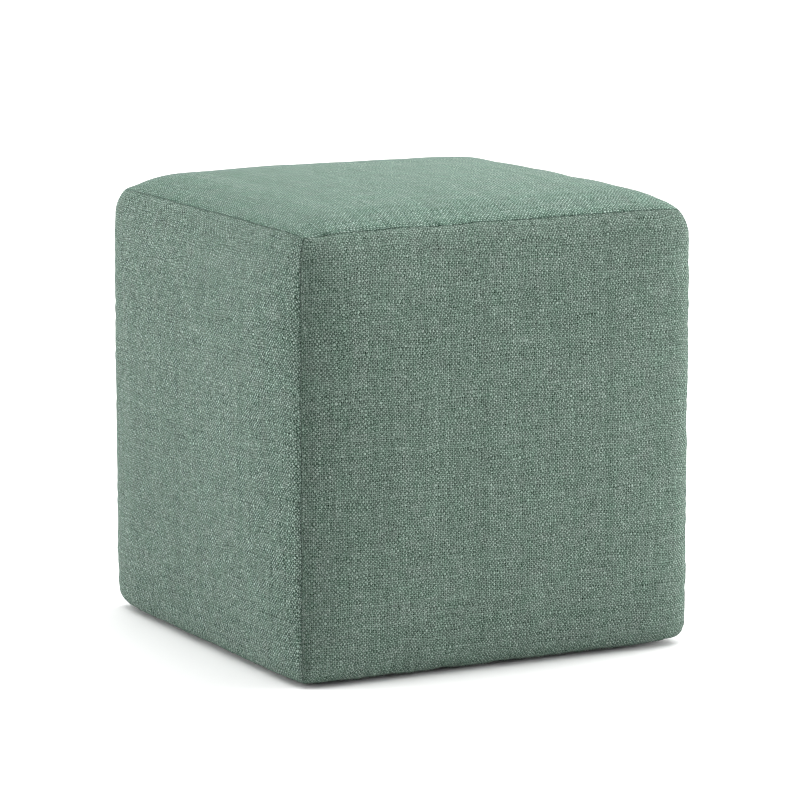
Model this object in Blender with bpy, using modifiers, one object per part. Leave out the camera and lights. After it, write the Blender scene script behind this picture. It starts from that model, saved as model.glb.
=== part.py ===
# Cube pouf stool: a soft filled cube in a cover of six cloth panels, sewn edge to edge.
# Metres, +Z up. The origin is on the floor, under the middle of the cube.
# The front is the face towards -Y, and the left is the face towards -X.
# Each crowned panel carries the filling behind it, so the cube is filled right through.

from math import pi, sin, sqrt

import bmesh
import bpy
from mathutils import Vector

# Overall size
WIDTH = 0.448  # X, over the crowns of the left and right panels
DEPTH = 0.445  # Y, over the crowns of the front and back panels
HEIGHT = 0.445  # Z, from the floor to the middle of the top

# Gap between neighbouring panels, along every seam
SEAM_GAP = 0.0003

# Base panel: a flat sheet that lies on the floor
BASE_THICKNESS = 0.003
BASE_MARGIN = 0.003  # from the base panel's edge out to where the sides turn up

# Side panels
SIDE_BULGE = 0.0075  # long shallow curve of a side, from corner seam to corner seam
SIDE_SHOULDER = 0.011  # further fall of a side as it rounds over to its corner seams
SHOULDER_POWER = 16  # higher keeps the shoulder closer to the seam
SHOULDER_AT_EDGE = 0.35  # share of the shoulder that is left at the top and bottom edges
BULGE_FADE_POWER = 4  # how late the bulge fades out towards the top and bottom edges
SHOULDER_FADE_POWER = 6  # and the shoulder
BOTTOM_ROLL_IN = 0.008
BOTTOM_ROLL_HEIGHT = 0.0185
TOP_ROLL_IN = 0.007
TOP_ROLL_HEIGHT = 0.029

# Top panel
TOP_CROWN = 0.006  # long shallow crown over the whole panel
TOP_EDGE_RISE = 0.0175  # height of the rounded edge above the seam
TOP_EDGE_WIDTH = 0.059  # width over which the edge rounds over

# Pinch where the thread draws two panels together
PINCH_DEPTH = 0.0015
PINCH_WIDTH = 0.007

# Mesh
DIVISIONS = 20  # rows of faces along each edge of the cube, finer towards the seams

# Lengths that follow from these
HALF_WIDTH = WIDTH / 2 - SIDE_BULGE - SIDE_SHOULDER  # from the middle to the corner seams, along X
HALF_DEPTH = DEPTH / 2 - SIDE_BULGE - SIDE_SHOULDER  # from the middle to the corner seams, along Y
SIDE_BOTTOM = BASE_THICKNESS + SEAM_GAP
TOP_SEAM = HEIGHT - TOP_CROWN - TOP_EDGE_RISE
SIDE_HEIGHT = TOP_SEAM - SIDE_BOTTOM

# Cloth colours, linear
COVER_COLOUR = (0.270, 0.375, 0.310, 1.0)
BASE_COLOUR = (0.060, 0.065, 0.062, 1.0)
CLOTH_ROUGHNESS = 0.92

# The four sides: each panel's name and the way that it faces
SIDES = (
    ("front_panel", Vector((0, -1, 0))),
    ("right_panel", Vector((1, 0, 0))),
    ("back_panel", Vector((0, 1, 0))),
    ("left_panel", Vector((-1, 0, 0))),
)


def clear_scene():
    for item in list(bpy.data.objects):
        bpy.data.objects.remove(item, do_unlink=True)


def cloth_material(name, colour):
    material = bpy.data.materials.new(name)
    material.use_nodes = True
    shader = material.node_tree.nodes["Principled BSDF"]
    shader.inputs["Base Color"].default_value = colour
    shader.inputs["Roughness"].default_value = CLOTH_ROUGHNESS
    shader.inputs["Metallic"].default_value = 0.0
    return material


def pinch(distance):
    # Depth of the dent that a seam draws in, at a distance from the seam
    closeness = max(0.0, 1 - distance / PINCH_WIDTH)
    return PINCH_DEPTH * closeness**2


def rounded(distance, reach):
    # 0 at an edge and 1 from reach inwards, along a quarter of an ellipse
    remaining = 1 - min(distance / reach, 1.0)
    return sqrt(1 - remaining**2)


def standout(along, up):
    # How far a side stands out from the plane of its corner seams.
    # along and up run from -1 to 1 over the side.
    bulge = SIDE_BULGE * (1 - along**2) * (1 - up**BULGE_FADE_POWER)
    shoulder = SIDE_SHOULDER * (1 - along**SHOULDER_POWER)
    shoulder *= 1 - (1 - SHOULDER_AT_EDGE) * up**SHOULDER_FADE_POWER
    return bulge + shoulder - pinch((1 - abs(along)) * HALF_WIDTH)


def drawn_in(up):
    # How far the sides are drawn in at a level, over the top and bottom rolls
    from_bottom = (up + 1) / 2 * SIDE_HEIGHT
    from_top = SIDE_HEIGHT - from_bottom
    top_part = max(0.0, 1 - from_top / TOP_ROLL_HEIGHT)
    bottom_part = 1 - rounded(from_bottom, BOTTOM_ROLL_HEIGHT)
    return TOP_ROLL_IN * top_part**2 + BOTTOM_ROLL_IN * bottom_part + pinch(from_top)


def plan(u, v, up):
    # Place in plan of a point of the cube, whose u, v and up run from -1 to 1
    share = 1 - drawn_in(up) / HALF_WIDTH
    x = u * (HALF_WIDTH * share + standout(v, up))
    y = v * (HALF_DEPTH * share + standout(u, up))
    return x, y


def top_rise(u, v):
    # Height of the top panel's surface above the top seam
    edge = rounded((1 - abs(u)) * HALF_WIDTH, TOP_EDGE_WIDTH)
    edge *= rounded((1 - abs(v)) * HALF_DEPTH, TOP_EDGE_WIDTH)
    return TOP_EDGE_RISE * edge + TOP_CROWN * (1 - u**2) * (1 - v**2)


def seam_spacing(place):
    # Moves evenly spaced rows, from -1 to 1, closer together near the seams
    return sin(place * pi / 2)


def filled_cube():
    # The whole pouf above its base panel, as one closed body
    body = bmesh.new()
    bmesh.ops.create_cube(body, size=2)
    bmesh.ops.subdivide_edges(body, edges=body.edges[:], cuts=DIVISIONS - 1, use_grid_fill=True)
    for vert in body.verts:
        u, v, up = (seam_spacing(place) for place in vert.co)
        x, y = plan(u, v, up)
        z = SIDE_BOTTOM + (up + 1) / 2 * SIDE_HEIGHT
        if up > 1 - 1e-6:
            z += top_rise(u, v)
        vert.co = (x, y, z)
    flat_faces = [face for face in body.faces if face.calc_center_median().z < SIDE_BOTTOM + 1e-6]
    bmesh.ops.dissolve_faces(body, faces=flat_faces)
    return body


def cut(body, point, inwards):
    # Cuts a body along a plane, keeps the part that inwards points to and closes it
    result = bmesh.ops.bisect_plane(
        body,
        geom=body.verts[:] + body.edges[:] + body.faces[:],
        plane_co=point,
        plane_no=inwards,
        clear_inner=True,
    )
    rim = [item for item in result["geom_cut"] if isinstance(item, bmesh.types.BMEdge)]
    bmesh.ops.edgeloop_fill(body, edges=rim)


def corner(direction):
    # Corner seam's place in plan, for a direction of two unit steps
    return Vector((direction.x * HALF_WIDTH, direction.y * HALF_DEPTH, 0))


def add_panel(name, body, centre, collection, parent, colour=COVER_COLOUR):
    # Makes an object with its origin at the middle of the panel's face
    bmesh.ops.recalc_face_normals(body, faces=body.faces[:])
    bmesh.ops.translate(body, verts=body.verts[:], vec=-centre)
    mesh = bpy.data.meshes.new(name)
    body.to_mesh(mesh)
    body.free()
    mesh.shade_smooth()
    mesh.set_sharp_from_angle(angle=pi / 4)
    mesh.materials.append(cloth_material(name + "_cloth", colour))
    panel = bpy.data.objects.new(name, mesh)
    collection.objects.link(panel)
    panel.parent = parent
    panel.location = centre
    return panel


def add_top_panel(collection, parent):
    body = filled_cube()
    cut(body, Vector((0, 0, TOP_SEAM + SEAM_GAP / 2)), Vector((0, 0, 1)))
    add_panel("top_panel", body, Vector((0, 0, HEIGHT)), collection, parent)


def add_side_panel(name, facing, collection, parent):
    # One side and the filling behind it, mitred from its corner seams to the middle
    body = filled_cube()
    cut(body, Vector((0, 0, TOP_SEAM - SEAM_GAP / 2)), Vector((0, 0, -1)))
    sideways = Vector((-facing.y, facing.x, 0))
    for step in (sideways, -sideways):
        seam = corner(facing + step)
        across = Vector((-seam.y, seam.x, 0)).normalized()
        if across.dot(step) > 0:
            across = -across
        cut(body, across * SEAM_GAP / 2, across)
    reach = Vector((facing.x * WIDTH, facing.y * DEPTH, 0)) / 2
    centre = reach + Vector((0, 0, SIDE_BOTTOM + SIDE_HEIGHT / 2))
    add_panel(name, body, centre, collection, parent)


def add_base_panel(collection, parent):
    # A flat sheet, cut to the outline of the sides' lower edge
    body = bmesh.new()
    bmesh.ops.create_grid(body, x_segments=DIVISIONS, y_segments=DIVISIONS, size=1)
    for vert in body.verts:
        u = seam_spacing(vert.co.x)
        v = seam_spacing(vert.co.y)
        x, y = plan(u, v, -1)
        vert.co = (x - u * BASE_MARGIN, y - v * BASE_MARGIN, 0)
    bmesh.ops.dissolve_faces(body, faces=body.faces[:])
    centre = Vector((0, 0, 0))
    panel = add_panel("base_panel", body, centre, collection, parent, BASE_COLOUR)
    solidify = panel.modifiers.new("cloth thickness", "SOLIDIFY")
    solidify.thickness = BASE_THICKNESS
    solidify.offset = 1.0 if panel.data.polygons[0].normal.z > 0 else -1.0


def build():
    clear_scene()
    collection = bpy.data.collections.new("cube_pouf_stool")
    bpy.context.scene.collection.children.link(collection)
    frame = bpy.data.objects.new("pouf_frame", None)
    collection.objects.link(frame)
    add_base_panel(collection, frame)
    for name, facing in SIDES:
        add_side_panel(name, facing, collection, frame)
    add_top_panel(collection, frame)


build()
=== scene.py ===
# Cube pouf stool: a filled cube in a sage green cloth, cut as six panels and sewn edge to edge.
from math import cos, pi, radians, sin

import bmesh
import bpy
import numpy as np
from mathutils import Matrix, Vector


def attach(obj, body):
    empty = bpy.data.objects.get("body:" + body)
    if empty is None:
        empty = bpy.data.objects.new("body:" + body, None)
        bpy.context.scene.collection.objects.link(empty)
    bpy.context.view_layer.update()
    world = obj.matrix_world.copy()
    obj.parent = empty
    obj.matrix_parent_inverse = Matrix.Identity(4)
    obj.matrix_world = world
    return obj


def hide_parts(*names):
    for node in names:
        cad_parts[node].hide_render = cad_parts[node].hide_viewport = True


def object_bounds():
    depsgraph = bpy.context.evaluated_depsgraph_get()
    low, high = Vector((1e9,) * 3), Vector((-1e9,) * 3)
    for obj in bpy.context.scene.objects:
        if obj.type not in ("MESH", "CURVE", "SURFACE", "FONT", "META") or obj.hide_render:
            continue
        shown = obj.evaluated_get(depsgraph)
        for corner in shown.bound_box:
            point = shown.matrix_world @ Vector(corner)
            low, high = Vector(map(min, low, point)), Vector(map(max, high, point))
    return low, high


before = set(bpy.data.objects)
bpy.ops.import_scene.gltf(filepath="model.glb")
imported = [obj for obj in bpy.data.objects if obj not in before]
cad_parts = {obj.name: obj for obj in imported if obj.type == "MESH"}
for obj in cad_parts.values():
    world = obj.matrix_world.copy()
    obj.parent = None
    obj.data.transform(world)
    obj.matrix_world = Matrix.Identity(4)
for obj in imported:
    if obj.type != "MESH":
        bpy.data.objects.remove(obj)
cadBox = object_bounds()
scene = bpy.context.scene
scene.view_settings.view_transform = "Standard"
scene.cycles.filter_width = 1.2     # pixels, a little sharper than Blender's own 1.5
print("frame loaded")

camera = dict(
    azimuth=-27.87,  # degrees, from the front towards the left
    elevation=9.61,  # degrees above the floor
    distance=4.10,   # metres from the middle of the pouf
    lens=188.7,      # mm, as the sensor's width is
    sensor=36,
    farthest=60,
    aim=(0.0048, 0.0012, 0.2233),
)


def addItem(name, data):
    item = bpy.data.objects.new(name, data)
    scene.collection.objects.link(item)
    return item


def directionFrom(azimuth, elevation):
    # points from the pouf to something seen at these angles, the camera's own way of counting them
    azimuth, elevation = radians(azimuth), radians(elevation)
    return Vector((sin(azimuth) * cos(elevation), -cos(azimuth) * cos(elevation), sin(elevation)))


def addCamera(values):
    back = directionFrom(values["azimuth"], values["elevation"])
    data = bpy.data.cameras.new("camera")
    data.lens = values["lens"]
    data.sensor_width = values["sensor"]
    data.clip_end = values["farthest"]
    item = addItem("camera", data)
    item.location = Vector(values["aim"]) + back * values["distance"]
    item.rotation_euler = (-back).to_track_quat("-Z", "Y").to_euler()
    scene.camera = item


addCamera(camera)

# The filled cube. Its points are counted from -1 to 1 across, deep and up, and a seam is where two of the
# three are whole.
whole = 0.999999     # from here up a count is whole, whatever rounding did to it
form = dict(
    bulge=0.0045,          # long shallow curve of each side, from corner seam to corner seam
    shoulder=0.0125,       # the further fall of a side close to its corner seams
    shoulderPower=12,      # higher keeps the shoulder closer to the seam
    bulgeAtEdge=0.0,       # share of the two that is left at a side's top and bottom edges
    shoulderAtEdge=0.35,
    bulgeFade=4,           # higher keeps them whole closer to those edges
    shoulderFade=6,
    bottomSeam=0.0033,     # height of the bottom seam over the floor
    bottomIn=0.0085,       # how far the sides roll in over the bottom edge
    bottomHeight=0.0180,
    topIn=0.0070,          # and over the top edge
    topHeight=0.0250,
    topCrown=0.0050,       # long shallow crown of the top
    edgeRise=0.0153,       # height of the top's rounded edge over its seam
    edgeWidth=0.0700,
    edgePower=3.3,         # higher makes it steeper at the seam and flatter further in
    edgeFall=0.16,         # share of that height that is gone at the four corners
    fallPower=3,
    nearCornerDip=0.0040,  # how far the top seam drops right at the front left corner
    cornerDip=0.0027,      # and at the other three
    cornerPower=11,
    nearDip=0.0026,        # the front left corner has settled this much lower
    cornerLift=0.0020,     # the bottom seam stands this much higher at the other three corners
    liftPower=8,
)
lowest, highest = (np.array(corner) for corner in cadBox)
halfWidth, halfDepth = (highest - lowest)[:2] / 2 - form["bulge"] - form["shoulder"]
topSeam = highest[2] - form["topCrown"] - form["edgeRise"]
sideHeight = topSeam - form["bottomSeam"]
halves = np.array([halfWidth, halfDepth, sideHeight / 2])


def rounded(distance, reach):
    # 0 at an edge and 1 from reach inwards, along a quarter of an ellipse
    return np.sqrt(1 - (1 - np.clip(distance / reach, 0, 1)) ** 2)


def eased(distance, start, end):
    # 0 before start, 1 after end, and a soft step between
    share = np.clip((distance - start) / (end - start), 0, 1)
    return share * share * (3 - 2 * share)


def domed(distance, reach, power):
    # 0 at an edge and 1 from reach inwards, leaving the edge at a slant
    return 1 - (1 - np.clip(distance / reach, 0, 1)) ** power


def formPoints(cube, share=1.0):
    # puts points of the cube on the filled form; share scales the long curve of the sides
    u, v, w = cube[..., 0], cube[..., 1], cube[..., 2]
    up = (w + 1) / 2
    near = (1 - u) * (1 - v) / 4
    dip = form["nearCornerDip"] * near + form["cornerDip"] * (1 - near)
    dip = dip * np.abs(u * v) ** form["cornerPower"] + form["nearDip"] * near
    lift = form["cornerLift"] * np.abs(u * v) ** form["liftPower"] * (1 - near)
    z = form["bottomSeam"] + lift + up * (sideHeight - dip - lift)
    topPart = np.clip(1 - (1 - up) * sideHeight / form["topHeight"], 0, 1) ** 2
    bottomPart = 1 - rounded(up * sideHeight, form["bottomHeight"])
    scale = 1 - (form["topIn"] * topPart + form["bottomIn"] * bottomPart) / halfWidth
    bulge = form["bulge"] * share * (1 - (1 - form["bulgeAtEdge"]) * w ** form["bulgeFade"])
    shoulder = form["shoulder"] * (1 - (1 - form["shoulderAtEdge"]) * w ** form["shoulderFade"])
    x = u * (halfWidth * scale + bulge * (1 - v ** 2) + shoulder * (1 - np.abs(v) ** form["shoulderPower"]))
    y = v * (halfDepth * scale + bulge * (1 - u ** 2) + shoulder * (1 - np.abs(u) ** form["shoulderPower"]))
    edge = domed((1 - np.abs(u)) * halfWidth, form["edgeWidth"], form["edgePower"])
    edge = edge * domed((1 - np.abs(v)) * halfDepth, form["edgeWidth"], form["edgePower"])
    edge = edge * (1 - form["edgeFall"] * np.abs(u * v) ** form["fallPower"])
    rise = form["edgeRise"] * edge + form["topCrown"] * (1 - u ** 2) * (1 - v ** 2)
    return np.stack([x, y, z + np.where(w > whole, rise, 0)], -1)


filling = dict(
    cells=48,         # faces along each edge of the cloth bag
    startBulge=0.45,  # share of the sides' bulge that the bag has before the filling swells it
    pressure=0.3,
    stiffness=40,
    bending=2,
    frames=20,
    mostMove=0.0042,  # metres that the filling may move any point
    smoothing=3,      # rounds that even out the bag's small wrinkles
    crowding=0.45,    # how much closer together the bag's rows lie towards the seams
    lookups=4001,     # points of the table that finds the bag row for a place
    coreUp=0.11,      # the filling behind the top closes this far over the cube's middle
    coreOut=0.06,     # and the filling behind a side this far out from it
)


def bagPlace(step):
    # where a bag row lies; the rows stand a little closer together towards the seams
    crowding = filling["crowding"]
    return (1 - crowding) * step + crowding * np.sin(step * pi / 2)


def swollenBag(values):
    # a closed cloth bag, held along its seams and under its base, swells under pressure
    cells = values["cells"]
    body = bmesh.new()
    bmesh.ops.create_cube(body, size=2)
    bmesh.ops.subdivide_edges(body, edges=body.edges[:], cuts=cells - 1, use_grid_fill=True)
    cube = np.array([vert.co for vert in body.verts])
    start = formPoints(bagPlace(cube), values["startBulge"])
    moved = np.zeros_like(start)
    for vert, place in zip(body.verts, start):
        vert.co = place
    bmesh.ops.recalc_face_normals(body, faces=body.faces[:])
    mesh = bpy.data.meshes.new("bag")
    body.to_mesh(mesh)
    item = addItem("bag", mesh)
    held = ((np.abs(cube) > whole).sum(1) > 1) | (cube[:, 2] < -whole)
    item.vertex_groups.new(name="held").add(np.flatnonzero(held).tolist(), 1, "REPLACE")
    cloth = item.modifiers.new("cloth", "CLOTH")
    cloth.settings.vertex_group_mass = "held"
    cloth.settings.use_pressure = True
    cloth.settings.uniform_pressure_force = values["pressure"]
    cloth.settings.effector_weights.gravity = 0
    cloth.settings.tension_stiffness = values["stiffness"]
    cloth.settings.compression_stiffness = values["stiffness"]
    cloth.settings.bending_stiffness = values["bending"]
    cloth.collision_settings.use_collision = False
    cloth.point_cache.frame_end = values["frames"]
    for number in range(1, values["frames"] + 1):
        scene.frame_set(number)
    settled = item.evaluated_get(bpy.context.evaluated_depsgraph_get())
    places = np.empty(start.size)
    settled.data.vertices.foreach_get("co", places)
    moved = places.reshape(-1, 3) - start
    bpy.data.objects.remove(item, do_unlink=True)
    scene.frame_set(1)
    length = np.maximum(np.linalg.norm(moved, axis=1, keepdims=True), 1e-9)
    moved *= np.tanh(length / values["mostMove"]) * values["mostMove"] / length
    body.free()
    return np.rint((cube + 1) / 2 * cells).astype(int), moved


bagSteps, bagMoved = swollenBag(filling)
# the sides take this share of their bulge from the form; the filling's swelling adds to it
bulgeShare = filling["startBulge"]
print("bag filled, its cloth moved up to", round(float(np.abs(bagMoved).max()) * 1000, 1), "mm")

sewing = dict(
    rollRadius=0.0005,                # the cloth turns down into a seam over this distance
    rollDepth=0.0008,
    pullDepth=0.0003,                 # wider dent that the tight thread pulls into the filling
    pullReach=0.008,
    pinchDepth=0.0006,                # further dents, at uneven stretches where the thread is tightest
    pinchReach=0.0022,
    pinchSpread=0.8,                  # how much they differ
    pinchMost=1.4,                    # the deepest of them, in pinch depths
    pinchFade=(0.004, 0.012),         # they fade out over this stretch before a corner
    pinchWaves=(7, 0.007, 0.018),     # how many waves make them up, the shortest and the longest
    tuckSeam=((1, -1), (2, 1)),       # a small tuck in the top front seam, near its left end
    tuckPlace=-0.191,
    tuckLength=0.011,
    tuckDepth=0.0011,
    allowanceHeight=0.00016,          # the turned-in edge of cloth shows as a low band beside the seam
    allowanceWidth=0.0055,
    allowanceStart=(0.0008, 0.0022),  # it rises over this stretch
    allowanceEnd=(0.85, 1.15),        # and falls over this one, in allowance widths
    allowanceFade=0.012,
    puckerHeight=0.00024,
    puckerReach=0.0045,
    puckerFade=(0.003, 0.020),
    puckerWaves=(9, 0.009, 0.032),
    wander=0.0002,                    # how far a seam line strays
    strayReach=0.016,                 # how far into the panel that is felt
    strayFade=0.05,
    strayWaves=(5, 0.035, 0.12),
    gap=0.00020,                      # half the gap between two panels in a seam
    gapReach=0.0015,                  # it opens over about this distance
    lumpHeight=0.00022,               # long shallow unevenness of the filling
    lumpMargin=0.03,
    lumpWaves=(14, 0.05, 0.20),
    seed=11,
)
# allowance is how much of the turned-in edge shows, inward how much of the bag's inward movement counts
panels = dict(
    top_cover=dict(node="top_panel", face=(2, 1), across=(0, 1), up=(1, 1), allowance=1.5, inward=0.2),
    front_cover=dict(node="front_panel", face=(1, -1), across=(0, 1), up=(2, 1), allowance=0.7, inward=1),
    right_cover=dict(node="right_panel", face=(0, 1), across=(1, 1), up=(2, 1), allowance=0.7, inward=1),
    back_cover=dict(node="back_panel", face=(1, 1), across=(0, -1), up=(2, 1), allowance=0.7, inward=1),
    left_cover=dict(node="left_panel", face=(0, -1), across=(1, -1), up=(2, 1), allowance=0.7, inward=1),
)
rows = dict(
    # mm from a seam
    beside=(0, 0.12, 0.3, 0.55, 0.85, 1.2, 1.7, 2.4, 3.2, 4.2, 5.4, 6.8, 8.4, 10.2, 12.4),
    spacing=0.0026,              # metres between the rows further in
    rim=(0.0015, 0.004, 0.009),  # how deep the turned-in edge goes
    rimGap=0.0008,               # and how far it stands back from the seam
    bakeMargin=0.02,             # share of the bake's square that is left round the outer face
    bakeRim=0.018,               # and what the turned-in edge takes of that
)
base = dict(
    beside=(0, 0.6, 1.4, 2.6, 4.2, 6.2, 9, 12.5, 17, 23),
    spacing=0.008,
    settle=0.014,    # from the seam to where the base lies on the floor
    clearance=0.0002,
    thickness=0.0012,
    edgeThickness=0.0003,
    thinEdge=0.006,  # width over which it thins
    across=0.412,    # cut size, with the edge that is turned in
    deep=0.409,
)
grooveDepth = sewing["rollDepth"] + sewing["pullDepth"]
random = np.random.default_rng(sewing["seed"])


def randomWaves(count, shortest, longest, height):
    # waves of random length, turn and phase whose sum is about height high
    length = np.exp(random.uniform(np.log(shortest), np.log(longest), count))
    turn = random.uniform(0, 2 * pi, count)
    phase = random.uniform(0, 2 * pi, count)
    return 2 * pi / length, turn, phase, height * np.sqrt(2 / count)


def waveHeight(waves, first, second=0.0):
    rate, turn, phase, height = waves
    total = 0
    for k in range(len(rate)):
        total = total + np.sin(rate[k] * (first * np.cos(turn[k]) + second * np.sin(turn[k])) + phase[k])
    return total * height


def seamWaves():
    # each seam's own puckers, dents and two ways of straying, the same for the panels on both its sides
    found = {}
    for first, second in ((0, 1), (0, 2), (1, 2)):
        for signs in ((-1, -1), (-1, 1), (1, -1), (1, 1)):
            key = ((first, signs[0]), (second, signs[1]))
            found[key] = dict(
                pucker=randomWaves(*sewing["puckerWaves"], 1.0),
                strayFirst=randomWaves(*sewing["strayWaves"], sewing["wander"]),
                straySecond=randomWaves(*sewing["strayWaves"], sewing["wander"]),
                pinch=randomWaves(*sewing["pinchWaves"], sewing["pinchSpread"]),
            )
    return found


def seamPinch(key, along):
    # how far a seam's line is pulled in at each place along it
    depth = sewing["pinchDepth"] * np.clip(waveHeight(seams[key]["pinch"], along), 0, sewing["pinchMost"])
    if key == sewing["tuckSeam"]:
        fromTuck = (along - sewing["tuckPlace"]) / sewing["tuckLength"]
        depth = depth + sewing["tuckDepth"] * np.exp(-fromTuck ** 2)
    return depth


seams = seamWaves()
lumps = {name: randomWaves(*sewing["lumpWaves"], sewing["lumpHeight"]) for name in [*panels, "base_cloth"]}


def rowPlaces(half, values):
    # rows from seam to seam, close together beside the seams
    beside = np.array(values["beside"]) / 1000
    middle = 2 * half - 2 * beside[-1]
    between = np.linspace(beside[-1], beside[-1] + middle, round(middle / values["spacing"]) + 1)[1:-1]
    return np.concatenate([beside, between, 2 * half - beside[::-1]]) / half - 1


def rowWeights(places):
    # how much each bag row moves a panel row, along smooth curves through the bag's rows
    cells = filling["cells"]
    steps = np.linspace(-1, 1, filling["lookups"])
    at = (np.interp(places, bagPlace(steps), steps) + 1) / 2 * cells
    first = np.clip(np.floor(at).astype(int), 0, cells - 1)
    t = at - first
    shares = (
        (-t + 2 * t ** 2 - t ** 3) / 2,
        (2 - 5 * t ** 2 + 3 * t ** 3) / 2,
        (t + 4 * t ** 2 - 3 * t ** 3) / 2,
        (-t ** 2 + t ** 3) / 2,
    )
    weights = np.zeros((len(places), cells + 1))
    for offset, share in zip((-1, 0, 1, 2), shares):
        np.add.at(weights, (np.arange(len(places)), np.clip(first + offset, 0, cells)), share)
    return weights


def bagMovement(panel, acrossPlaces, upPlaces):
    # how far the swelling moves each point of a panel
    cells = filling["cells"]
    (axis, sign), (a, aSign), (b, bSign) = panel["face"], panel["across"], panel["up"]
    on = bagSteps[:, axis] == (cells if sign > 0 else 0)
    grid = np.zeros((cells + 1, cells + 1, 3))
    grid[bagSteps[on, a], bagSteps[on, b]] = bagMoved[on]
    grid[..., axis] *= np.where(grid[..., axis] * sign < 0, panel["inward"], 1)
    for _ in range(filling["smoothing"]):
        grid[1:-1] = grid[1:-1] / 2 + (grid[:-2] + grid[2:]) / 4
        grid[:, 1:-1] = grid[:, 1:-1] / 2 + (grid[:, :-2] + grid[:, 2:]) / 4
    return np.einsum("ai,bj,ijk->abk", rowWeights(acrossPlaces * aSign), rowWeights(upPlaces * bSign), grid)


def panelPoints(name, panel, values=rows):
    # the outer face of one panel as rows of points
    (axis, sign), (a, aSign), (b, bSign) = panel["face"], panel["across"], panel["up"]
    acrossPlaces, upPlaces = rowPlaces(halves[a], values), rowPlaces(halves[b], values)
    cube = np.empty((len(acrossPlaces), len(upPlaces), 3))
    cube[..., axis] = sign
    cube[..., a] = acrossPlaces[:, None] * aSign
    cube[..., b] = upPlaces[None, :] * bSign
    fromA = (1 - np.abs(cube[..., a])) * halves[a]
    fromB = (1 - np.abs(cube[..., b])) * halves[b]
    points = formPoints(cube, bulgeShare)
    points += bagMovement(panel, acrossPlaces, upPlaces)

    def groove(distance):
        roll = sewing["rollDepth"] * (1 - rounded(distance, sewing["rollRadius"]))
        pull = sewing["pullDepth"] * np.clip(1 - distance / sewing["pullReach"], 0, 1) ** 2
        return (roll + pull) / grooveDepth

    freeA, freeB = 1 - groove(fromA), 1 - groove(fromB)
    outward = -grooveDepth * (1 - freeA * freeB)
    window = rounded(fromA, sewing["lumpMargin"]) * rounded(fromB, sewing["lumpMargin"])
    outward += window * waveHeight(lumps[name], cube[..., a] * halves[a], cube[..., b] * halves[b])
    allowanceEnd = [share * sewing["allowanceWidth"] for share in sewing["allowanceEnd"]]
    underneath = axis == 2 and sign < 0
    for distance, other, free, runs, fixed in ((fromA, fromB, freeB, b, a), (fromB, fromA, freeA, a, b)):
        band = eased(distance, *sewing["allowanceStart"]) * (1 - eased(distance, *allowanceEnd))
        fade = eased(other, 0.0, sewing["allowanceFade"])
        outward += sewing["allowanceHeight"] * panel["allowance"] * band * free * fade
        reach = distance / sewing["puckerReach"]
        pull = sewing["puckerHeight"] * reach * np.exp(1 - reach) * eased(other, *sewing["puckerFade"])
        fall = np.exp(-(distance / sewing["strayReach"]) ** 2) * eased(other, 0.0, sewing["strayFade"])
        tight = np.exp(-(distance / sewing["pinchReach"]) ** 2) * eased(other, *sewing["pinchFade"])
        for end in (-1, 1):
            key = tuple(sorted([(axis, sign), (fixed, end)]))
            near = np.sign(cube[..., fixed]) == end
            along = cube[..., runs] * halves[runs]
            outward += np.where(near, pull * waveHeight(seams[key]["pucker"], along), 0)
            for stray, (straight, side) in zip(("strayFirst", "straySecond"), key):
                points[..., straight] += np.where(near, fall * waveHeight(seams[key][stray], along), 0)
                points[..., straight] -= np.where(near, tight * seamPinch(key, along) * side, 0)
    if underneath:
        # the base goes down from its seam and lies flat
        lying = eased(fromA, 0, values["settle"]) * eased(fromB, 0, values["settle"])
        outward = (form["bottomSeam"] - values["clearance"]) * lying
    points[..., axis] += sign * outward
    if underneath:
        points[..., 2] = np.maximum(points[..., 2], values["clearance"])
    for flat, distance in ((a, fromA), (b, fromB)):
        # the sides' lower edges keep their height
        depth = np.where((flat == 2) & (cube[..., 2] < 0), 0, grooveDepth)
        shift = depth * np.abs(cube[..., flat]) + sewing["gap"] * np.exp(-distance / sewing["gapReach"])
        points[..., flat] -= np.sign(cube[..., flat]) * shift
    return cube, points


def arcFromMiddle(points, direction):
    # length of cloth along each row, from its middle point
    steps = np.linalg.norm(np.diff(points, axis=direction), axis=-1)
    length = np.insert(np.cumsum(steps, axis=direction), 0, 0, axis=direction)
    middle = np.take(length, [length.shape[direction] // 2], axis=direction)
    return length - middle


def gridParts(wide, high):
    # faces of a sheet of rows, the ring of points round its edge, and each point's share across and up
    number = np.arange(wide * high).reshape(wide, high)
    quads = np.stack([number[:-1, :-1], number[1:, :-1], number[1:, 1:], number[:-1, 1:]], -1)
    ring = np.concatenate([number[:-1, 0], number[-1, :-1], number[:0:-1, -1], number[0, :0:-1]])
    across, up = np.linspace(0, 1, wide)[:, None], np.linspace(0, 1, high)[None]
    spread = np.stack(np.broadcast_arrays(across, up), -1)
    return quads.reshape(-1, 4), ring, spread.reshape(-1, 2)


def wallFaces(outer, inner):
    # faces between two rings of points
    return np.stack([np.roll(outer, -1), outer, inner, np.roll(inner, -1)], -1)


def cornerPoints(mesh):
    # number of the point at each corner of each face
    corner = np.empty(len(mesh.loops), int)
    mesh.loops.foreach_get("vertex_index", corner)
    return corner


def addSmooth(name, mesh):
    mesh.polygons.foreach_set("use_smooth", np.ones(len(mesh.polygons), bool))
    mesh.update()
    return addItem(name, mesh)


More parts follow.
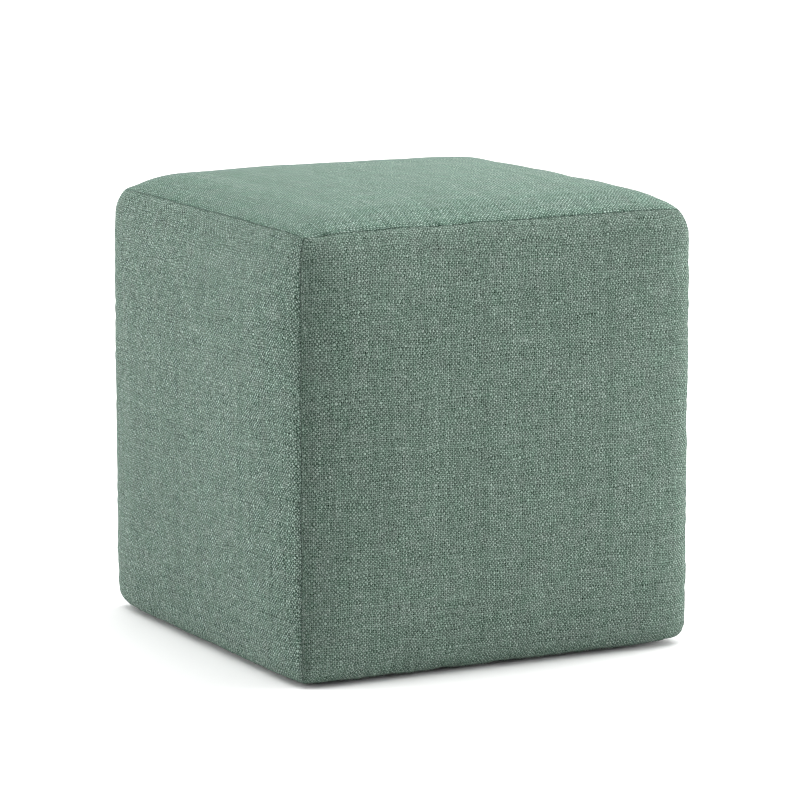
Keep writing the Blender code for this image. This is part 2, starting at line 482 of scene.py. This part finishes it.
def panelMesh(name, panel):
    # the outer face, its edge turned in along each seam, and a point deep inside that closes the filling
    cube, points = panelPoints(name, panel)
    quads, ring, spread = gridParts(*points.shape[:2])
    threads = np.stack([arcFromMiddle(points, 0), arcFromMiddle(points, 1)], -1).reshape(-1, 2)
    flatPoints, flatCube = points.reshape(-1, 3), cube.reshape(-1, 3)
    ends = np.where(np.abs(flatCube[ring]) > whole, np.sign(flatCube[ring]), 0)
    inwards = -ends / np.linalg.norm(ends, axis=1, keepdims=True)
    aside = ends.copy()
    aside[:, panel["face"][0]] = 0
    flatAside = np.stack([aside[:, panel[k][0]] * panel[k][1] for k in ("across", "up")], -1)
    margin = rows["bakeMargin"]
    places, uvs, bakes = [flatPoints], [threads], [margin + (1 - 2 * margin) * spread]
    for k, depth in enumerate(rows["rim"]):
        back = rows["rimGap"] * min(1, (k + 1) / 2)
        places.append(flatPoints[ring] + inwards * depth - aside * back)
        uvs.append(threads[ring] + flatAside * depth)
        bakes.append(bakes[0][ring] + flatAside * rows["bakeRim"] * (k + 1) / len(rows["rim"]))
    axis, sign = panel["face"]
    middle = np.array([0, 0, topSeam / 2])
    middle[axis] += sign * (filling["coreUp"] if axis == 2 else filling["coreOut"])
    places.append(middle[None])
    count, total = len(ring), len(flatPoints)
    rings = [ring] + [total + k * count + np.arange(count) for k in range(len(rows["rim"]))]
    walls = [wallFaces(outer, inner) for outer, inner in zip(rings, rings[1:])]
    last = rings[-1]
    fans = np.stack([np.roll(last, -1), last, np.full(count, last[-1] + 1)], -1)
    faces = np.concatenate([quads, *walls]).tolist() + fans.tolist()
    mesh = bpy.data.meshes.new(name)
    mesh.from_pydata(np.concatenate(places).tolist(), [], faces)
    corner = cornerPoints(mesh)
    for layer, values in (("thread", uvs), ("OFBake", bakes)):
        # on each face that closes the filling, the middle point lies midway between the other two corners
        values = np.concatenate([*values, [[0, 0]]])[corner]
        tips = np.arange(len(corner) - 3 * count, len(corner)).reshape(count, 3)
        values[tips[:, 2]] = values[tips[:, :2]].mean(1)
        mesh.uv_layers.new(name=layer).data.foreach_set("uv", values.ravel())
    return addSmooth(name, mesh)


covers = {}
for coverName, coverPanel in panels.items():
    covers[coverName] = panelMesh(coverName, coverPanel)
    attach(covers[coverName], "root")
    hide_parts(coverPanel["node"])
print("panels sewn:", sum(len(item.data.polygons) for item in covers.values()), "faces")


def baseMesh(values):
    # a flat piece of cloth under the filling, thinner where it is sewn in
    panel = dict(face=(2, -1), across=(0, 1), up=(1, -1), allowance=0, inward=1)
    cube, lower = panelPoints("base_cloth", panel, values)
    fromSeam = np.minimum((1 - np.abs(cube[..., 0])) * halfWidth, (1 - np.abs(cube[..., 1])) * halfDepth)
    thicker = (values["thickness"] - values["edgeThickness"]) * eased(fromSeam, 0, values["thinEdge"])
    upper = lower + np.array([0, 0, 1]) * (values["edgeThickness"] + thicker)[..., None]
    quads, ring, spread = gridParts(*lower.shape[:2])
    places = np.concatenate([lower.reshape(-1, 3), upper.reshape(-1, 3)])
    count = len(spread)
    faces = np.concatenate([quads, quads[:, ::-1] + count, wallFaces(ring, ring + count)])
    mesh = bpy.data.meshes.new("base_cloth")
    mesh.from_pydata(places.tolist(), [], faces.tolist())
    corner = cornerPoints(mesh)
    # the lower face bakes in the left half, the upper one in the right half, the thin wall in a strip above
    bake = spread * [0.46, 0.94]
    bake = np.concatenate([bake + [0.01, 0.03], bake + [0.53, 0.03]])[corner]
    wall = np.arange(len(corner) - 4 * len(ring), len(corner))
    along = np.repeat(np.arange(len(ring)), 4) / len(ring)
    step = np.tile([1, 0, 0, 1], len(ring)) / len(ring)
    upwards = 0.01 * np.tile([0, 0, 1, 1], len(ring))
    bake[wall] = np.stack([0.02 + 0.96 * (along + step), 0.985 + upwards], -1)
    mesh.uv_layers.new(name="OFBake").data.foreach_set("uv", bake.ravel())
    return addSmooth("base_cloth", mesh)


baseCloth = baseMesh(base)
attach(baseCloth, "root")
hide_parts("base_panel")
print("base sewn in:", len(baseCloth.data.polygons), "faces")


class Wire:
    # one output of a material node; sums, products and the like on it add Math nodes
    def __init__(self, socket):
        self.socket = socket
        self.tree = socket.id_data

    def maths(self, operation, *values):
        return addNode(self.tree, "ShaderNodeMath", {"operation": operation}, dict(enumerate(values)))

    def __add__(self, other):
        return self.maths("ADD", self, other)

    def __sub__(self, other):
        return self.maths("SUBTRACT", self, other)

    def __rsub__(self, other):
        return self.maths("SUBTRACT", other, self)

    def __mul__(self, other):
        return self.maths("MULTIPLY", self, other)

    def __truediv__(self, other):
        return self.maths("DIVIDE", self, other)

    def __pow__(self, other):
        return self.maths("POWER", self, other)

    def __gt__(self, other):
        return self.maths("GREATER_THAN", self, other)

    __radd__ = __add__
    __rmul__ = __mul__

    def floor(self):
        return self.maths("FLOOR", self)

    def cosine(self):
        return self.maths("COSINE", self)

    def most(self, other):
        return self.maths("MAXIMUM", self, other)


def addNode(tree, kind, settings=None, sockets=None, output=0):
    # adds one node, sets it up, fills or links its sockets and returns the output asked for
    node = tree.nodes.new(kind)
    for key, value in (settings or {}).items():
        setattr(node, key, value)
    for key, value in (sockets or {}).items():
        if isinstance(value, Wire):
            tree.links.new(value.socket, node.inputs[key])
        elif isinstance(value, tuple) and node.inputs[key].type == "RGBA":
            node.inputs[key].default_value = (*value, 1)
        else:
            node.inputs[key].default_value = value
    return Wire(node.outputs[output]) if node.outputs else None


def emptyMaterial(name):
    material = bpy.data.materials.new(name)
    material.use_nodes = True
    material.node_tree.nodes.clear()
    return material


def finishSurface(material, sockets):
    # one shader with these sockets, to the material's output
    shader = addNode(material.node_tree, "ShaderNodeBsdfPrincipled", {}, sockets)
    addNode(material.node_tree, "ShaderNodeOutputMaterial", {}, {"Surface": shader})
    return material


cloth = dict(
    warpPitch=0.00177,  # metres from thread to thread, across
    weftPitch=0.00195,  # and up
    plump=0.1,          # how much wider the threads that run up are
    wander=2.0,         # how far threads stray over a long way, in threads
    wanderSize=0.040,
    uneven=1.1,         # how unevenly they are spaced, much the same all along each thread
    unevenSize=0.0055,
    unevenStretch=0.1,  # lower makes that hold for longer along a thread
    jostle=0.4,         # how far they stray from one crossing to the next
    jostleSize=0.0032,
    jostleStretch=1.6,  # higher makes that change sooner across the threads
    tone=0.479,         # lightness of the dyed thread, as the eye sees it
    lessRed=0.0675,     # how far red and blue lie under green, the same in dark and pale threads
    lessBlue=0.0398,
    hueShare=0.32,      # how much that differs from one stretch of thread to the next
    hueLength=0.030,
    hueMottle=0.26,     # and over patches a few threads wide
    hueSize=0.020,
    warpOver=0.0675,    # threads that run up are this much lighter than threads that run across
    floatShare=0.0553,  # how much each short stretch of thread on top differs
    fleckShare=0.0775,  # how much the colour changes along a thread
    fleckLength=0.0022,
    threadShare=0.031,  # how much whole threads differ
    fibreShare=0.2656,
    fibreSize=0.0003,
    mottleShare=0.0221,
    mottleSize=0.018,
    gapTone=0.02,       # what is left of the light between the threads
    gapFrom=0.25,       # the threads' height where the gap's shade begins and ends
    gapTo=0.65,
    gapPower=0.45,      # turns that light into lightness as the eye sees it
    # the shade painted on the threads' crests; over 1 it lightens them
    crest=0.93,
    roughness=0.92,
    relief=0.0005,
)
sideClothLit = dict(
    # painted light: the sides' tone is lighter than the front's
    tone=0.504,
    lessRed=0.0719,
    wander=1.6,
    jostle=0.6,
    warpOver=0.0996,
    floatShare=0.0775,
    fleckShare=0.1107,
    gapTone=0.0,
    gapTo=0.75,
    crest=0.96,
)
topClothLit = dict(
    # painted light: the top's tone is lighter than the front's
    tone=0.524,
    lessRed=0.083,
    lessBlue=0.0443,
    wander=1.0,
    wanderSize=0.025,
    uneven=1.0,
    jostle=0.3,
    warpOver=0.080,
    fleckShare=0.0664,
    threadShare=0.037,
    gapTone=0.24,
    gapFrom=0.3,
    gapTo=1.0,
    crest=1.15,
)


def clothMaterial(name, values):
    material = emptyMaterial(name)
    tree = material.node_tree

    def join(x, y, z=0.0):
        return addNode(tree, "ShaderNodeCombineXYZ", sockets={0: x, 1: y, 2: z})

    def noise(vector, size, detail=2.0):
        # even noise of about -1 to 1
        sockets = {"Vector": vector, "Scale": 1 / size, "Detail": detail, "Roughness": 0.5}
        return (addNode(tree, "ShaderNodeTexNoise", {"noise_dimensions": "3D"}, sockets) - 0.5) * 2

    def chance(x, y, z):
        # one number of -1 to 1 for each cell
        sockets = {"Vector": join(x, y, z)}
        return (addNode(tree, "ShaderNodeTexWhiteNoise", {"noise_dimensions": "3D"}, sockets) - 0.5) * 2

    surface = addNode(tree, "ShaderNodeUVMap", {"uv_map": "thread"})
    along = addNode(tree, "ShaderNodeSeparateXYZ", sockets={0: surface})
    up = Wire(along.socket.node.outputs[1])
    longer, shorter = values["unevenStretch"], values["jostleStretch"]
    strayAcross = noise(join(along, up, 1.0), values["wanderSize"]) * values["wander"]
    strayAcross = strayAcross + noise(join(along, up * longer, 2.0), values["unevenSize"]) * values["uneven"]
    strayAcross = strayAcross + noise(join(along * shorter, up, 3.0), values["jostleSize"]) * values["jostle"]
    strayUp = noise(join(along, up, 5.0), values["wanderSize"]) * values["wander"]
    strayUp = strayUp + noise(join(along * longer, up, 7.0), values["unevenSize"]) * values["uneven"]
    strayUp = strayUp + noise(join(along, up * shorter, 9.0), values["jostleSize"]) * values["jostle"]
    s = along / values["warpPitch"] + strayAcross
    t = up / values["weftPitch"] + strayUp
    warp, weft = s.floor(), t.floor()
    roundWarp = 1 - ((s - warp) * 2 - 1) ** 2
    roundWeft = 1 - ((t - weft) * 2 - 1) ** 2
    # threads rise and dive by turns, so each passes over one and under the next
    warpHeight = roundWarp * 0.5 + ((t - 0.5 + warp) * pi).cosine() * 0.5
    weftHeight = roundWeft * 0.5 - ((s - 0.5 + weft) * pi).cosine() * 0.5
    height = warpHeight.most(weftHeight)
    warpOnTop = warpHeight + values["plump"] > weftHeight

    def choose(ifWeft, ifWarp):
        return addNode(tree, "ShaderNodeMix", {"data_type": "FLOAT"}, {0: warpOnTop, 2: ifWeft, 3: ifWarp})

    def alongThread(length, layer):
        # noise that runs along each thread and is another on the next, which lies far off in it
        apart = 7.31
        onWarp = noise(join(warp * apart, up / length, layer), 1.0, 1.0)
        onWeft = noise(join(along / length, weft * apart, layer + 5.0), 1.0, 1.0)
        return choose(onWeft, onWarp)

    tone = values["tone"] + choose(-values["warpOver"], values["warpOver"])
    tone = tone + chance(warp, weft, warpOnTop + 8) * values["floatShare"]
    tone = tone + alongThread(values["fleckLength"], 1.5) * values["fleckShare"]
    tone = tone + choose(chance(0.5, weft, 4.5), chance(warp, 0.5, 2.5)) * values["threadShare"]
    fibre = noise(surface, values["fibreSize"])
    tone = tone + fibre * values["fibreShare"] + noise(surface, values["mottleSize"]) * values["mottleShare"]
    # painted shade and highlight: the base colour darkens in the gaps between the threads and is lightest on
    # their crests
    sockets = {0: height, 1: values["gapFrom"], 2: values["gapTo"], 3: values["gapTone"], 4: values["crest"]}
    shade = addNode(tree, "ShaderNodeMapRange", {}, sockets)
    lightness = tone.most(0.05) * shade ** values["gapPower"]
    hue = 1 + alongThread(values["hueLength"], 23.5) * values["hueShare"]
    hue = hue + noise(surface, values["hueSize"]) * values["hueMottle"]
    red = (lightness - hue * values["lessRed"]).most(0.02) ** 2.2
    blue = (lightness - hue * values["lessBlue"]).most(0.02) ** 2.2
    green = lightness ** 2.2
    colour = addNode(tree, "ShaderNodeCombineColor", {"mode": "RGB"}, {0: red, 1: green, 2: blue})
    sockets = {"Strength": 1.0, "Distance": values["relief"], "Height": height + fibre * 0.2}
    relief = addNode(tree, "ShaderNodeBump", {}, sockets)
    sockets = {
        "Base Color": colour,
        "Roughness": values["roughness"] - tone * 0.08,
        "Normal": relief,
        "Specular IOR Level": 0.2,
    }
    return finishSurface(material, sockets)


# the same cloth in three copies: on the top and on the left and right sides the tone is lighter than on the
# front and back, painted light for how the light falls on those faces; the threads also lie a little
# differently, drawn tighter to the left and right, and flatter over the top
materials = dict(
    left_cover=clothMaterial("sage_cloth_side_lit", {**cloth, **sideClothLit}),
    top_cover=clothMaterial("sage_cloth_top_lit", {**cloth, **topClothLit}),
    front_cover=clothMaterial("sage_cloth", cloth),
)
materials.update(right_cover=materials["left_cover"], back_cover=materials["front_cover"])
for name, item in covers.items():
    item.data.materials.append(materials[name])
print("cloth woven")

baseFelt = dict(
    colour=(0.040, 0.044, 0.042),
    paler=(0.085, 0.092, 0.088),
    fibreSize=0.0006,
    matSize=0.006,
    roughness=0.95,
    relief=0.0003,
)


def feltMaterial(name, values):
    material = emptyMaterial(name)
    tree = material.node_tree
    place = addNode(tree, "ShaderNodeTexCoord", output="Object")

    def noise(size, stretch):
        turned = addNode(tree, "ShaderNodeMapping", {}, {"Vector": place, "Scale": stretch})
        sockets = {"Vector": turned, "Scale": 1 / size, "Detail": 4.0, "Roughness": 0.6}
        return addNode(tree, "ShaderNodeTexNoise", {}, sockets)

    # short fibres lie both ways in the mat
    fibres = noise(values["fibreSize"], (0.25, 1, 1)).most(noise(values["fibreSize"], (1, 0.25, 1)))
    mat = noise(values["matSize"], (1, 1, 1))
    sockets = {0: (fibres * 0.7 + mat * 0.5 - 0.35) * 2, 6: values["colour"], 7: values["paler"]}
    colour = addNode(tree, "ShaderNodeMix", {"data_type": "RGBA"}, sockets, output=2)
    sockets = {"Strength": 0.8, "Distance": values["relief"], "Height": fibres + mat}
    relief = addNode(tree, "ShaderNodeBump", {}, sockets)
    sockets = {"Base Color": colour, "Roughness": values["roughness"], "Normal": relief}
    return finishSurface(material, {**sockets, "Specular IOR Level": 0.15})


baseCloth.data.materials.append(feltMaterial("base_felt", baseFelt))

stitch = dict(
    spacing=0.0034,     # from stitch to stitch along a seam
    length=0.0015,      # across the seam
    thickness=0.00034,
    arch=0.00035,       # how far its middle stands over its ends
    height=0.00030,     # of its ends over the bottom of the seam
    turn=14,            # degrees that a stitch may lie askew
    seed=5,
    sizes=(0.8, 1.15),  # the smallest and the largest, as shares of those sizes
    bends=4,            # straight bits in the arch
    sides=6,            # and round the thread
    clearOfCorner=0.007,
    pathPoints=160,     # of the line that a seam's stitches follow
    deep=(0.095, 0.150, 0.122),
    pale=(0.190, 0.275, 0.232),
    plyScale=900.0,     # how close together the turns of the thread's plies lie
    dyeScale=260.0,
    roughness=0.62,
    relief=0.00008,
)


def threadMaterial(name, values):
    material = emptyMaterial(name)
    tree = material.node_tree
    place = addNode(tree, "ShaderNodeTexCoord", output="Object")
    turned = addNode(tree, "ShaderNodeMapping", {}, {"Vector": place, "Rotation": (0.6, 0.7, 0.8)})
    settings = {"wave_type": "BANDS", "wave_profile": "SIN"}
    sockets = {"Vector": turned, "Scale": values["plyScale"], "Distortion": 1.5, "Detail": 1.0}
    twist = addNode(tree, "ShaderNodeTexWave", settings, sockets, output=1)
    sockets = {"Vector": place, "Scale": values["dyeScale"], "Detail": 2.0}
    dye = addNode(tree, "ShaderNodeTexNoise", {}, sockets)
    sockets = {0: twist * 0.6 + dye * 0.5, 6: values["deep"], 7: values["pale"]}
    colour = addNode(tree, "ShaderNodeMix", {"data_type": "RGBA"}, sockets, output=2)
    sockets = {"Strength": 0.7, "Distance": values["relief"], "Height": twist}
    relief = addNode(tree, "ShaderNodeBump", {}, sockets)
    sockets = {"Base Color": colour, "Roughness": values["roughness"], "Normal": relief}
    return finishSurface(material, {**sockets, "Specular IOR Level": 0.3})


def seamPath(key, values):
    # points along the bottom of one seam, and the way out of it
    (first, firstSign), (second, secondSign) = key
    runs = 3 - first - second
    half = halves[runs]
    places = np.linspace(-1, 1, values["pathPoints"]) * (1 - values["clearOfCorner"] / half)
    cube = np.zeros((len(places), 3))
    cube[:, first], cube[:, second], cube[:, runs] = firstSign, secondSign, places
    points = formPoints(cube, bulgeShare)
    fade = eased((1 - np.abs(places)) * half, 0.0, sewing["strayFade"])
    outward = np.zeros(3)
    for axis, sign, stray in ((first, firstSign, "strayFirst"), (second, secondSign, "straySecond")):
        points[:, axis] += fade * waveHeight(seams[key][stray], places * half)
        points[:, axis] -= seamPinch(key, places * half) * sign
        outward[axis] = sign
        if axis < 2 or sign > 0:
            points[:, axis] -= sign * grooveDepth
    if runs < 2:
        points[:, runs] -= places * grooveDepth
    outward /= np.linalg.norm(outward)
    return points + outward * values["height"], np.broadcast_to(outward, points.shape)


def stitchTree(material, values):
    # sets stitches along the lines that it is given
    tree = bpy.data.node_groups.new("stitches", "GeometryNodeTree")
    tree.interface.new_socket("Geometry", in_out="INPUT", socket_type="NodeSocketGeometry")
    for label in ("Spacing", "Length", "Thickness", "Arch", "Turn"):
        tree.interface.new_socket(label, in_out="INPUT", socket_type="NodeSocketFloat")
    tree.interface.new_socket("Seed", in_out="INPUT", socket_type="NodeSocketInt")
    tree.interface.new_socket("Geometry", in_out="OUTPUT", socket_type="NodeSocketGeometry")
    entry = tree.nodes.new("NodeGroupInput")
    given = {socket.name: Wire(socket) for socket in entry.outputs if socket.name}
    lines = addNode(tree, "GeometryNodeMeshToCurve", {}, {"Mesh": given["Geometry"]})
    sockets = {"Curve": lines, "Length": given["Spacing"]}
    lines = addNode(tree, "GeometryNodeResampleCurve", {"mode": "LENGTH"}, sockets)
    # one stitch is a short arch of round thread across the seam
    half, arch = given["Length"] * 0.5, given["Arch"]
    start = addNode(tree, "ShaderNodeCombineXYZ", {}, {0: half * -1, 2: arch * -1})
    middle = addNode(tree, "ShaderNodeCombineXYZ", {}, {2: arch})
    end = addNode(tree, "ShaderNodeCombineXYZ", {}, {0: half, 2: arch * -1})
    sockets = {"Resolution": values["bends"], "Start": start, "Middle": middle, "End": end}
    bow = addNode(tree, "GeometryNodeCurveQuadraticBezier", {}, sockets)
    sockets = {"Resolution": values["sides"], "Radius": given["Thickness"] * 0.5}
    ring = addNode(tree, "GeometryNodeCurvePrimitiveCircle", {}, sockets)
    sockets = {"Curve": bow, "Profile Curve": ring, "Fill Caps": True}
    single = addNode(tree, "GeometryNodeCurveToMesh", {}, sockets)
    single = addNode(tree, "GeometryNodeSetShadeSmooth", {}, {"Geometry": single})
    settings = {"data_type": "FLOAT_VECTOR"}
    outward = addNode(tree, "GeometryNodeInputNamedAttribute", settings, {"Name": "outward"})
    tangent = addNode(tree, "GeometryNodeInputTangent")
    settings = {"primary_axis": "Z", "secondary_axis": "Y"}
    turned = addNode(tree, "FunctionNodeAxesToRotation", settings, {0: outward, 1: tangent})
    settings = {"data_type": "FLOAT"}
    sockets = {2: -1.0, 3: 1.0, "Seed": given["Seed"]}
    askew = addNode(tree, "FunctionNodeRandomValue", settings, sockets, output=1)
    askew = addNode(tree, "ShaderNodeCombineXYZ", {}, {2: askew * given["Turn"]})
    askew = addNode(tree, "FunctionNodeEulerToRotation", {}, {0: askew})
    turned = addNode(tree, "FunctionNodeRotateRotation", {"rotation_space": "LOCAL"}, {0: turned, 1: askew})
    sockets = {2: values["sizes"][0], 3: values["sizes"][1], "Seed": given["Seed"] + 1}
    size = addNode(tree, "FunctionNodeRandomValue", settings, sockets, output=1)
    sockets = {"Points": lines, "Instance": single, "Rotation": turned, "Scale": size}
    sewn = addNode(tree, "GeometryNodeInstanceOnPoints", {}, sockets)
    sewn = addNode(tree, "GeometryNodeRealizeInstances", {}, {"Geometry": sewn})
    sewn = addNode(tree, "GeometryNodeSetMaterial", {}, {"Geometry": sewn, "Material": material})
    addNode(tree, "NodeGroupOutput", {}, {0: sewn})
    return tree


def seamThread(values):
    # the stitches of all the seams as one mesh
    paths = [seamPath(key, values) for key in seams]
    mesh = bpy.data.meshes.new("seam_lines")
    edges, count = [], 0
    for points, _ in paths:
        edges += [(count + k, count + k + 1) for k in range(len(points) - 1)]
        count += len(points)
    mesh.from_pydata(np.concatenate([points for points, _ in paths]).tolist(), edges, [])
    ways = mesh.attributes.new("outward", "FLOAT_VECTOR", "POINT")
    ways.data.foreach_set("vector", np.concatenate([way for _, way in paths]).ravel())
    lines = addItem("seam_lines", mesh)
    modifier = lines.modifiers.new("stitches", "NODES")
    modifier.node_group = stitchTree(threadMaterial("sewing_thread", values), values)
    given = dict(
        Spacing=values["spacing"],
        Length=values["length"],
        Thickness=values["thickness"],
        Arch=values["arch"],
        Turn=radians(values["turn"]),
        Seed=values["seed"],
    )
    for socket in modifier.node_group.interface.items_tree:
        if socket.in_out == "INPUT" and socket.name in given:
            modifier[socket.identifier] = given[socket.name]
    made = bpy.data.meshes.new_from_object(lines.evaluated_get(bpy.context.evaluated_depsgraph_get()))
    made.name = "seam_thread"
    bpy.data.objects.remove(lines, do_unlink=True)
    return addItem("seam_thread", made)


thread = seamThread(stitch)
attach(thread, "root")
print("seams stitched:", len(thread.data.polygons), "faces")

floorPaper = dict(
    size=60.0,  # metres
    albedo=0.90,
    roughness=0.9,
)


def addFloor(values):
    mesh = bpy.data.meshes.new("floor")
    half = values["size"] / 2
    corners = [(-half, -half, 0), (half, -half, 0), (half, half, 0), (-half, half, 0)]
    mesh.from_pydata(corners, [], [(0, 1, 2, 3)])
    item = addItem("floor", mesh)
    sockets = {"Base Color": (values["albedo"],) * 3, "Roughness": values["roughness"]}
    material = finishSurface(emptyMaterial("floor_paper"), {**sockets, "Specular IOR Level": 0.1})
    mesh.materials.append(material)


addFloor(floorPaper)

lights = dict(
    sky=0.0,    # even light from all round
    spread=36,  # how wide each softbox looks from the pouf, in degrees
    boxes=(
        # name, azimuth, elevation, strength
        ("right_near", 52, 10, 0.38),
        ("right_low", 72, 10, 5.02),
        ("right_high", 92, 38, 1.22),
        ("right_back", 108, 57, 1.28),
        ("back_low", 153, 10, 1.17),
        ("back_high", 172, 38, 0.18),
        ("left_low", 232, 10, 2.70),
        ("left_middle", 232, 38, 0.50),
        ("left_high", 242, 64, 1.22),
        ("over_head", 0, 88, 1.62),
    ),
)


def addLights(values):
    world = bpy.data.worlds.new("studio")
    scene.world = world
    world.use_nodes = True
    world.node_tree.nodes.clear()
    sockets = {"Color": (1.0, 1.0, 1.0), "Strength": values["sky"]}
    glow = addNode(world.node_tree, "ShaderNodeBackground", {}, sockets)
    addNode(world.node_tree, "ShaderNodeOutputWorld", {}, {"Surface": glow})
    for name, azimuth, elevation, strength in values["boxes"]:
        data = bpy.data.lights.new(name, "SUN")
        data.energy = strength
        data.angle = radians(values["spread"])
        item = addItem(name, data)
        item.rotation_euler = directionFrom(azimuth, elevation).to_track_quat("Z", "Y").to_euler()


addLights(lights)
print("floor and lights set")
